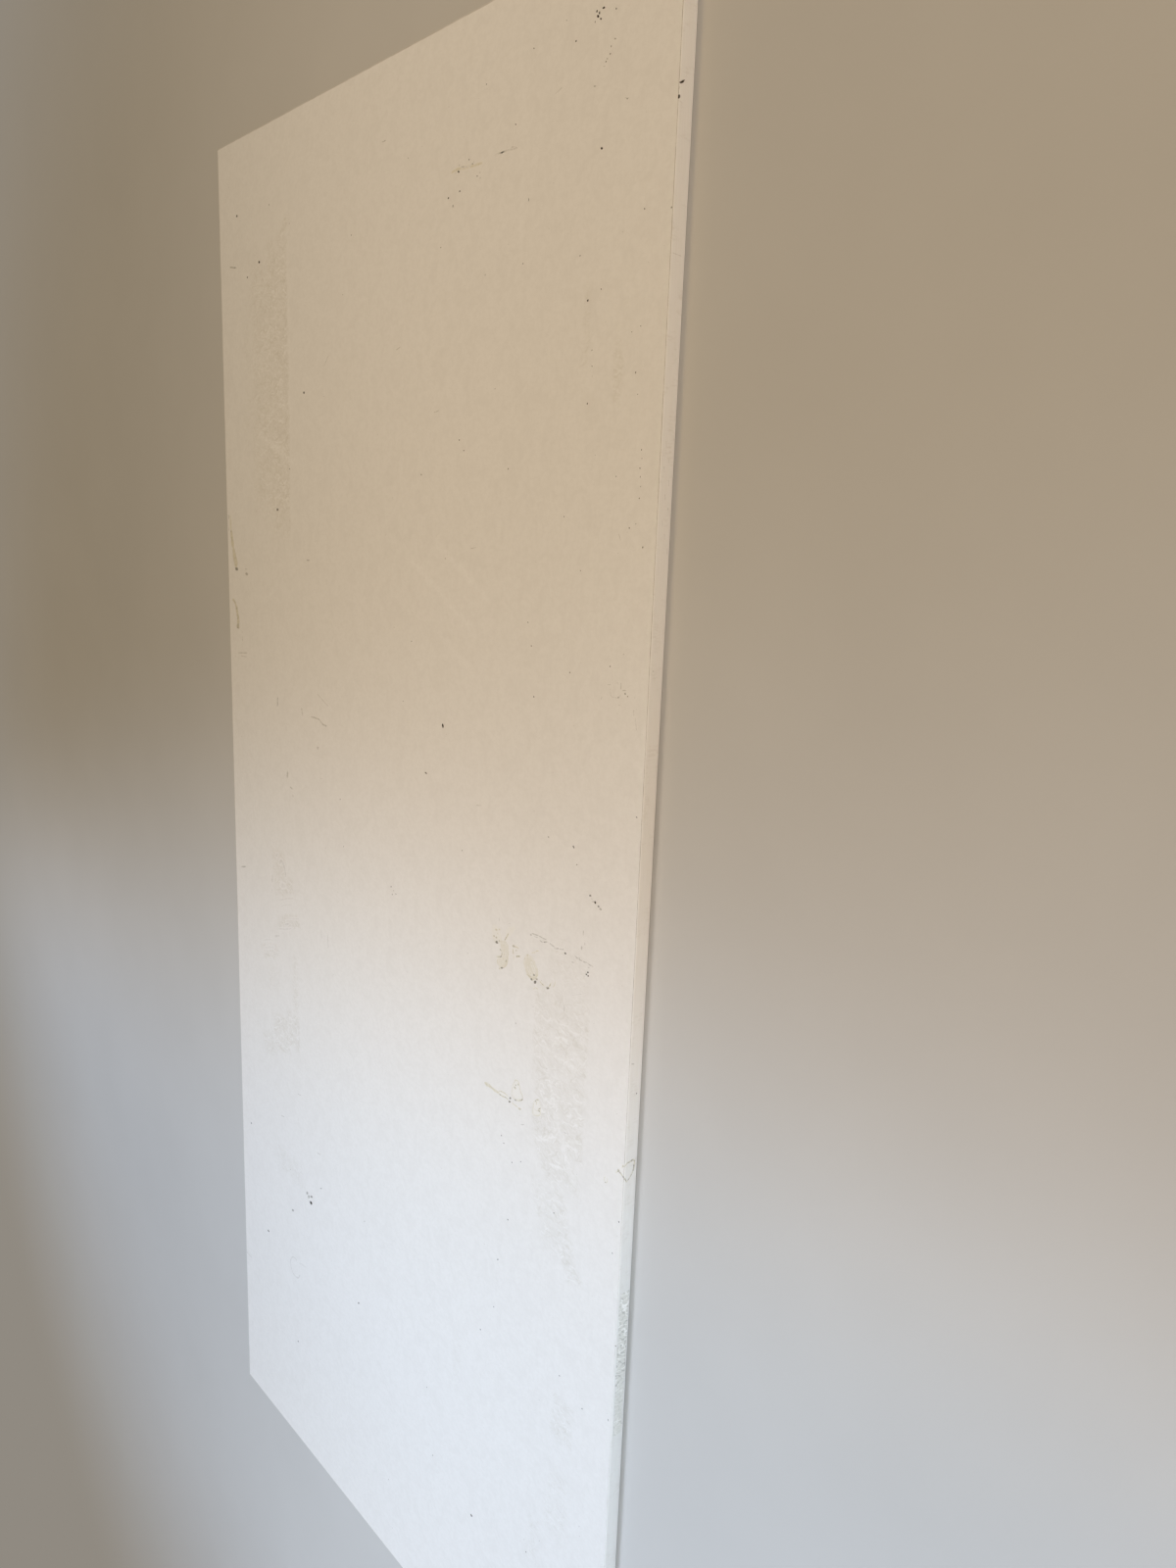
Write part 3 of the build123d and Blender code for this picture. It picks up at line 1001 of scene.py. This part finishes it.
# %% Smudges, arcs and the ring
ring = [(189 + 17 * math.cos(a), 1743 + 17 * math.sin(a)) for a in np.radians(range(10, 320, 24))]
lines(
    scuffs, thin,
    # on the face
    ([(682, 148.5), (700, 148.8), (721, 149.6)], (3.5, 4.5, 4), 0.26),
    ([(191, 896), (190, 904), (188, 912)], (9, 10, 8), 0.46),
    ([(202, 931), (211, 936)], 8, 0.26),
    ([(237, 793), (239, 801), (242, 809)], 8, 0.3),
    ([(265, 805), (280, 805), (291, 806), (301, 811), (314, 812)], (4, 5, 4, 5, 5), 0.4),
    ([(230, 1586.5), (235, 1583.5), (240, 1580.5)], (9, 12, 9), 0.8),
    ([(236, 1592), (240, 1587), (245, 1585)], (10, 12, 9), 0.76),
    ([(244, 1585), (249.5, 1582.3), (254, 1580)], (5, 7, 4), 0.92),
    ([(238, 1597), (242.5, 1593)], 6, 0.52),
    (ring, 6.5, 0.24),
    ([(201, 1728), (215, 1724), (230, 1722)], 7, 0.2),
    ([(899, 687), (899, 692), (901, 696), (906, 696.6), (911, 696),
      (915.5, 692)], (1.8, 2, 2, 2, 2.2, 2.2), 0.28),
    ([(914, 680), (914.5, 684), (914.3, 688)], 2.4, 0.42),
    ([(906, 682), (910, 681.5), (910.6, 684)], 1.8, 0.28),
    ([(934.5, 705), (935, 712)], 2, 0.36),
    ([(936.6, 712.5), (938.4, 719), (939.8, 726)], (1.8, 2, 2), 0.28),
    ([(918.5, 687.8), (922.5, 687.3)], 2, 0.52),
    ([(922.5, 693), (926.5, 694)], 2.2, 0.48),
    ([(46, 1168), (50, 1173)], 9, 0.22),
    ([(160, 1766), (169, 1778), (174, 1792)], 20, 0.06),
    # beside the two dried runs at the left edge
    ([(6, 521), (6.5, 530)], 5, 0.52),
    ([(6, 541), (6.5, 548)], 4, 0.36),
    ([(59, 603.5), (70, 603.5)], 4.5, 0.3),
    ([(44, 698), (46, 704)], (6, 8), 0.4),
    ([(45, 705), (46, 718)], 8, 0.24),
    ([(17, 738), (19, 745)], 8, 0.28),
    # curled rubs and slanting strokes in the lower left strip
    ([(135, 1072), (133, 1081), (131, 1092)], (11.7, 11.7, 9.1), 0.25),
    ([(131, 1095), (132, 1108)], 10.4, 0.22),
    ([(143, 1043), (149, 1040), (156, 1035)], (6.5, 7.8, 6.5), 0.21),
    ([(155, 1054), (162, 1047), (169, 1046), (174, 1053), (178, 1063),
      (179, 1071)], (7.8, 10.4, 10.4, 10.4, 10.4, 7.8), 0.24),
    ([(157, 1087), (168, 1084.5), (181, 1083)], (11.7, 14.3, 11.7), 0.19),
    ([(138, 1012), (140, 1030)], 9.1, 0.12),
    ([(152, 1112), (166, 1108), (182, 1102), (204, 1096)], (3.9, 5.2, 5.2, 3.9), 0.19),
    ([(160, 1121), (176, 1114), (200, 1107)], (3.9, 5.2, 3.9), 0.16),
    ([(186, 1134), (204, 1129), (222, 1124)], (3.9, 5.2, 3.9), 0.17),
    ([(171, 1148), (180, 1144.5), (188, 1141)], (5.2, 7.8, 5.2), 0.26),
    ([(150, 1160), (172, 1155), (196, 1147)], (5.2, 6.5, 5.2), 0.19),
    ([(135, 1177.5), (142, 1175), (156, 1170.5)], (6.5, 7.8, 3.9), 0.26),
    ([(126, 1187.5), (131, 1184)], 5.9, 0.26),
    ([(94, 1197), (110, 1190.5), (126, 1186)], (5.2, 6.5, 5.2), 0.16),
    ([(98, 1208), (116, 1202), (138, 1195)], (6.5, 9.1, 6.5), 0.15),
    ([(28, 735.5), (44, 734), (62, 732.5)], 3.5, 0.38),
    ([(38, 739), (60, 739)], 3, 0.32),
    # ticks on the right band
    ([(954.2, 148.5), (954.4, 151.5)], 1.6, 0.5),
    ([(955, 285), (968, 286)], (1.6, 1.4), 0.36),
    ([(957, 665), (960, 665)], 2, 0.55),
    ([(955, 1078), (958, 1079), (961, 1080)], (2, 3, 2), 0.45),
)

# %% Light scuffs on the right band, the haze and the dots
for from_top, down in (
    (448, 5), (462, 9), (471, 4), (483, 11), (496, 7), (508, 12), (520, 5), (533, 9), (546, 13),
):
    scuffs.smear([(955 + down, from_top), (956 + down, from_top + 7)], 1.8, 0.32, height=thin)
# a grey haze under the first half of the chain
scuffs.smear([(786, 984), (800, 985), (814, 985.6), (828, 987.4), (842, 986)], 6.5, 0.13, height=0.01)
spots(
    scuffs, 0.03,
    (783.3, 985.2, 4, 2.6, -10, 0.6), (619, 145.5, 3.8, 2.8, 0, 0.3), (646.4, 147.7, 2.6, 2, 0, 0.35),
    (658, 160.4, 2.6, 1.8, 0, 0.4), (658.5, 166, 3, 1.8, 0, 0.4), (608, 185, 4, 4, 0, 0.42),
    (881.5, 912.4, 4.2, 2.6, -15, 0.88), (895, 921, 4, 2.4, -10, 0.85), (898.2, 923, 4.4, 3, 0, 0.66),
    (868, 987.3, 2.8, 1.8, 0, 0.5), (911.2, 696, 2.6, 2, 0, 0.75), (897.5, 666.3, 2, 1.4, 0, 0.3),
    (66, 611, 11, 5.4, 0, 0.62), (309.5, 812.5, 5, 3, 0, 0.5), (857, 102, 3.2, 2.2, 0, 0.42),
)

# %% Make the scuffs
grey, dark_grey = (0.53, 0.51, 0.475), (0.1, 0.09, 0.078)
scuffs.make("scuff_marks", mark_finish("scuff_grey", white, grey, dark_grey, 0.5, 0.35))

# %% [markdown]
# ### Grit
# Dark crumbs stick to the face, most of them the size of a grain of sand and a few as large as a lentil.
# The larger ones sit where the photograph shows them. Finer ones are strewn by a seeded draw, thicker in
# the right half, which is where the real panel has them.

# %% The larger crumbs
grit = Marks(51)
true_size = 0.66  # the picture blurs a crumb, so it looks larger than it is
# from the left edge, from the top edge, length, width, turn
for x, y, long, wide, turn in (
    (601, 770, 9.7, 5.3, 80), (565, 835, 8.2, 2.7, 20), (257, 358, 6.5, 5.1, 0), (599, 175, 4.3, 3.5, 0),
    (854, 178, 5, 3.7, 30), (744, 203, 6.2, 1.4, 88), (842, 312, 4, 3.4, 0), (847, 409, 3.2, 3, 0),
    (395, 1690, 6.5, 4.3, 140), (693, 1843, 7, 5.3, 0), (61, 101, 6.8, 4.8, 0), (129, 173, 7.4, 5.8, 0),
    (91, 188, 5, 4, 0), (172, 514, 7.5, 5.6, 0), (627, 435, 2.8, 2.6, 0), (636, 447, 3, 2.4, 0),
    (720, 469, 3, 2.4, 0), (776, 712, 3, 2.6, 0), (851, 865, 3, 2.6, 0), (755, 1363, 3.4, 3, 0),
    (737, 1428, 5, 2.4, 120), (738, 1257, 3, 2.6, 0), (743, 1265, 2.6, 2.2, 0), (760, 1283, 3.2, 2.4, 0),
    (777, 1274, 2.8, 2.4, 0), (841, 1310, 3, 2.4, 0), (704, 1548, 3.6, 2.6, 40),
    (949.4, 1265.5, 3.4, 2.2, 70), (941.6, 1308, 3, 2.4, 0), (948, 1517, 4.5, 1.6, 60),
    (904, 1532, 3, 2.4, 0), (862, 1515, 3, 2.4, 0), (882.6, 999, 4.4, 2.7, -10), (880.4, 1002, 3.8, 2.8, 0),
    (883.4, 1002.8, 3.8, 2.8, 0), (844.4, 989, 4.6, 3.7, 0), (246.6, 1594.6, 13, 10, -10),
    (889.6, 918, 5.2, 4.5, 0), (34, 1548, 5.4, 4, 0), (282, 1552, 3, 2, 0), (92, 1726, 9, 5.2, 0),
    (195, 1880, 5.4, 4, 0), (946, 813, 3, 2, 0), (212, 458, 3, 2.4, 0), (618, 151.7, 5.6, 3.4, 20),
    (637.5, 143.5, 3, 2, 0), (653, 163, 3, 2, 15), (621, 172, 3.2, 2.4, 0), (644, 149, 3.4, 1.8, 10),
    (852, 866, 3, 2.6, 0), (966, 1115, 2.6, 2, 0), (840, 57.5, 3.6, 3.4, 0), (843.6, 60, 3.2, 4.6, 0),
    (841.7, 62.3, 6.6, 3.8, 42), (846, 65.6, 4.8, 2.6, 22), (849.5, 57.4, 6.6, 3.2, 10),
    (867, 63, 2.9, 2.4, 80), (811, 75, 3.4, 2.6, 0),
):
    grit.crumb(x, y, true_size * long, true_size * wide, turn, 1, 0.14)

# %% The smaller crumbs
# from the left edge, from the top edge
for x, y in (
    (667, 77), (746, 64), (796, 53), (620, 172), (585, 224), (917, 242), (887, 143), (828, 269), (861, 304),
    (907, 348), (919, 344), (915, 385), (851, 359), (852, 374), (919, 405), (693, 384), (671, 265),
    (737, 263), (894, 480), (916, 529), (925, 525), (936, 547), (817, 519), (846, 573), (602, 569),
    (762, 632), (769, 657), (916, 652), (897, 666), (835, 679), (858, 884), (809, 864), (530, 673),
    (511, 751), (489, 659), (349, 911), (646, 917), (358, 978), (295, 891), (306, 992), (661, 1045),
    (760, 1102), (285, 849), (516, 117), (549, 472), (364, 246), (163, 104), (222, 138), (731, 1499),
    (908, 1692), (582, 1715), (599, 1815), (482, 1942), (811, 1807), (806, 1792), (836, 1770), (413, 1542),
    (178, 1568), (928, 456), (929, 464), (927, 473), (928, 481), (929, 490), (928, 501), (956.5, 1456),
    (952, 247), (954, 1417), (862, 93), (861, 99), (855.5, 104), (867, 88), (386, 179), (838, 66),
    (484, 1005), (490, 1009), (496, 1012), (487, 1015), (608, 184.5), (719, 127), (918, 688), (921, 691),
    (925, 693),
):
    size = grit.draw.uniform(1.2, 2.2)
    wide, turn, tone = (grit.draw.uniform(*ends) for ends in ((0.6, 0.9), (0, 180), (0.4, 0.8)))
    grit.crumb(x, y, size, size * wide, turn, tone, 0.1)

# %% The finest crumbs, and dark marks in the knocks
fine_crumbs, border = 260, 8
for _ in range(fine_crumbs):
    inwards = grit.draw.random() ** 1.5 * 0.97  # the power crowds them towards the right edge
    across = panel_width * (1 - inwards) - 6
    size = grit.draw.uniform(0.35, 0.9)
    along, tone = grit.draw.uniform(border, panel_length - border), grit.draw.uniform(0.2, 0.7)
    grit.crumb(across, along, size, size * 0.8, 0, tone, 0.06)
# a dark smear and a dark crumb in the two largest knocks of the right band
grit.smear([(953.4, 146.6), (956, 145.6), (958, 144.2), (960, 142.6)], (1.1, 1.6, 1.8, 1.2), 0.9, 0.9, 0.1)
grit.crumb(954.2, 157.2, 4, 2.5, 90, 1, 0.12)

# %% Make the grit
dust, earth, soot = (0.42, 0.36, 0.29), (0.13, 0.105, 0.08), (0.028, 0.021, 0.014)
grit.make("grit_marks", mark_finish("grit_brown", dust, earth, soot, 0.9, 0.1))

# %% [markdown]
# ### Film on the edge
# On the lower part of the long edge an adhesive film has shrunk into crosswise wrinkles that glint. It could
# be a bump map, but wrinkles that cross each other catch the light on real slopes. So it is a sheet of small
# cells over the band. Waves of random length and direction cross on it, and wherever their sum passes
# through nought, the sheet is pinched into a fold up to a tenth of a millimetre high. Its colour paints light
# and shade over that: these folds are painted as glints, and the folds of a second net of waves, which stay
# flat, are painted as shade.

# %% Wrinkle the film
def film_sheet(first=1353.0, weaker=1470.0, last=1537.0, cell=0.8, seed=61):
    """Points, tones and faces of the sheet from first to last; beyond weaker it is thinner and more torn."""
    draw = random.Random(seed)
    nets, crossing = [], 7
    # the first net of folds is lifted and painted as glints, the second is only painted as shade
    for _ in ("folds that glint", "folds in shade"):
        waves = []
        for _ in range(crossing):
            turn = math.radians(draw.uniform(-65, 65))
            pitch = 2 * math.pi / draw.uniform(5.5, 21)
            waves.append((pitch * math.sin(turn), pitch * math.cos(turn), draw.uniform(0, 2 * math.pi)))
        nets.append(waves)
    torn = wander(seed + 9, 37, 13, 5.5)

    levelled, pinched = 2.2, 0.35  # share of the waves' sum, and how near to nought a fold begins

    def fold(waves, x, y):
        total = sum(math.sin(kx * x + ky * y + phase) for kx, ky, phase in waves) / levelled
        return max(0.0, 1 - abs(total) / pinched)

    rows = np.arange(first, last, cell)
    columns = np.linspace(1.4, 15.4, 18)  # how far round the arris and down the band
    flat, ridge = 0.03, 0.11  # heights
    points, tones, faces = [], [], []
    for y in rows:
        strong = 1.0 if y < weaker else 0.5
        for c in columns:
            bright, dark = (fold(waves, c, y) * strong for waves in nets)
            points.append(on_skin(panel_width + c, y, flat + ridge * bright))
            # painted light: the tone paints glints on the first net's folds and shade on the second's
            tones.append(min(1.0, max(0.0, 0.5 + 0.65 * bright - 0.6 * dark)))
    wide = len(columns)
    for j in range(len(rows) - 1):
        strong = 0.9 if rows[j] < weaker else 0.35
        for c in range(wide - 1):
            border = min(c, wide - 2 - c) / 3
            if border + strong + 0.8 * torn(rows[j] + 3 * c) + draw.uniform(-0.25, 0.25) > 0.45:
                a = j * wide + c
                faces.append((a, a + 1, a + 1 + wide, a + wide))
    used = sorted({index for face in faces for index in face})
    renumber = {index: n for n, index in enumerate(used)}
    faces = [tuple(renumber[index] for index in face) for face in faces]
    return [points[i] for i in used], [tones[i] for i in used], faces


film = Marks(61)
film.points, film.tones, film.faces = film_sheet()
# painted shade at tone 0, the film's own grey in the middle, a painted glint at tone 1
painted_fold_shade, clear, glint = (0.47, 0.46, 0.42), (0.715, 0.7, 0.65), (0.92, 0.91, 0.875)
film.make("edge_film_marks", mark_finish("film_grey_painted_glint_and_shade", painted_fold_shade, clear, glint, 0.3))

# %% [markdown]
# ## Floor, camera and light
# The panel lies flat on a plain pale floor. Far out the floor fades into the colour of the room, so that no
# horizon and no border of the lamps' pool of light shows: there it only glows in that colour.

# %% Floor
room_colour = (0.279, 0.254, 0.220)
fade_from, fade_to = 1300, 2800  # from the panel's middle
black = (0.0, 0.0, 0.0)


def floor_finish():
    material, tree, shader = new_finish("pale_floor")
    place = surface_mm(tree)
    clouds = mottle(tree, place, 260, detail=4)
    colour = blend(tree, clouds, (0.49, 0.48, 0.46), (0.54, 0.53, 0.51))
    distance = add(tree, "ShaderNodeVectorMath", [(0, place)], operation="LENGTH").outputs["Value"]
    far = spread(tree, distance, fade_from, fade_to)
    bumps = relief(tree, mottle(tree, place, 2.0), 0.1)
    set_look(tree, shader, blend(tree, far, colour, black), 0.8, bumps, sloped(tree, far, -0.5, 0.5))
    put(tree, shader.inputs["Emission Color"], room_colour)
    put(tree, shader.inputs["Emission Strength"], far)
    return material


floor_mesh = bpy.data.meshes.new("floor")
reach = 30.0  # metres
corners = [(-reach, -reach, 0), (reach, -reach, 0), (reach, reach, 0), (-reach, reach, 0)]
floor_mesh.from_pydata(corners, [], [(0, 1, 2, 3)])
floor_mesh.materials.append(floor_finish())
floor = bpy.data.objects.new("floor", floor_mesh)
bpy.context.scene.collection.objects.link(floor)
print("the floor fades from", fade_from, "to", fade_to, "mm")

# %% [markdown]
# The camera stands where the photographer's did, worked out from the panel's corners and edges: off the
# right long edge and above it, rolled so that the panel's top end is up in the picture. A place, a direction
# to look in and a direction that is up in the picture say it all, and the turn follows from them.

# %% Camera
camera_data = bpy.data.cameras.new("camera")
camera_data.sensor_width = 36.0
camera_data.lens = 25.875  # a phone's main lens, over the picture's long side
camera = bpy.data.objects.new("camera", camera_data)
bpy.context.scene.collection.objects.link(camera)
stand = Vector((1.2565, 0.4880, 0.7928))
look = Vector((-0.7280, -0.2071, -0.6535))
up = Vector((-0.1807, 0.9775, -0.1085))
side = look.cross(up).normalized()
up = side.cross(look).normalized()
turn = Matrix((side, up, -look.normalized())).transposed()
camera.matrix_world = Matrix.Translation(stand) @ turn.to_4x4()
bpy.context.scene.camera = camera
print("the camera stands at", np.round(stand, 2), "m")

# %% [markdown]
# Light: a dim, even room, a warm soft box over the upper half and a brighter daylight one over the lower
# half. Both hang level over the floor like two long window panes side by side, and they are gridded, so
# that the change from warm to cool comes over half a metre, as on the photograph. They lean a little, so
# the panel throws a thin shadow on the right. The long edge faces away from them. A pair of small boxes low
# on that side, one warm and one cool, gives it the same change of colour. These two only light: the decor
# would mirror them as white bands, so they are taken out of its reflections.

# %% Lamps and room
def soft_box(name, middle, aim, long_side, size, colour, power, grid):
    """A lamp of size (long, short) in metres that shines along aim; grid is its opening in degrees."""
    lamp = bpy.data.lights.new(name, "AREA")
    lamp.shape = "RECTANGLE"
    lamp.size, lamp.size_y = size
    lamp.color = colour
    lamp.energy = power
    lamp.spread = math.radians(grid)
    back = -Vector(aim).normalized()
    short = back.cross(Vector(long_side)).normalized()
    turn = Matrix((short.cross(back), short, back)).transposed()
    holder = bpy.data.objects.new(name, lamp)
    bpy.context.scene.collection.objects.link(holder)
    holder.matrix_world = Matrix.Translation(middle) @ turn.to_4x4()
    print(name, power, "W")
    return holder


turned, lean = math.radians(8), math.radians(20)
pane_side, pane = (math.cos(turned), math.sin(turned), 0), (6.0, 3.0)
down = (math.sin(lean), 0, -math.cos(lean))
soft_box("warm_box", (-1.71, 1.09, 1.9), down, pane_side, pane, (1.0, 0.71, 0.337), 12.5, 28)
soft_box("daylight_box", (-1.69, -1.74, 1.9), down, pane_side, pane, (0.707, 0.816, 1.0), 40, 32)

from_right, edge_side, small = (-2.5, 0, -1.5), (0, 1, 0), (2.6, 1.0)
for name, along, colour, power in (
    ("side_warm_box", 1.17, (1.0, 0.809, 0.631), 3.8),
    ("side_daylight_box", -1.36, (0.729, 0.856, 1.0), 5.9),
):
    side_box = soft_box(name, (3.0, along, 1.5), from_right, edge_side, small, colour, power, 13)
    side_box.visible_glossy = False

world = bpy.data.worlds.new("room")
bpy.context.scene.world = world
world.use_nodes = True
background = world.node_tree.nodes["Background"]
background.inputs["Color"].default_value = (*room_colour, 1.0)
background.inputs["Strength"].default_value = 1.0
bpy.context.scene.view_settings.view_transform = "Standard"
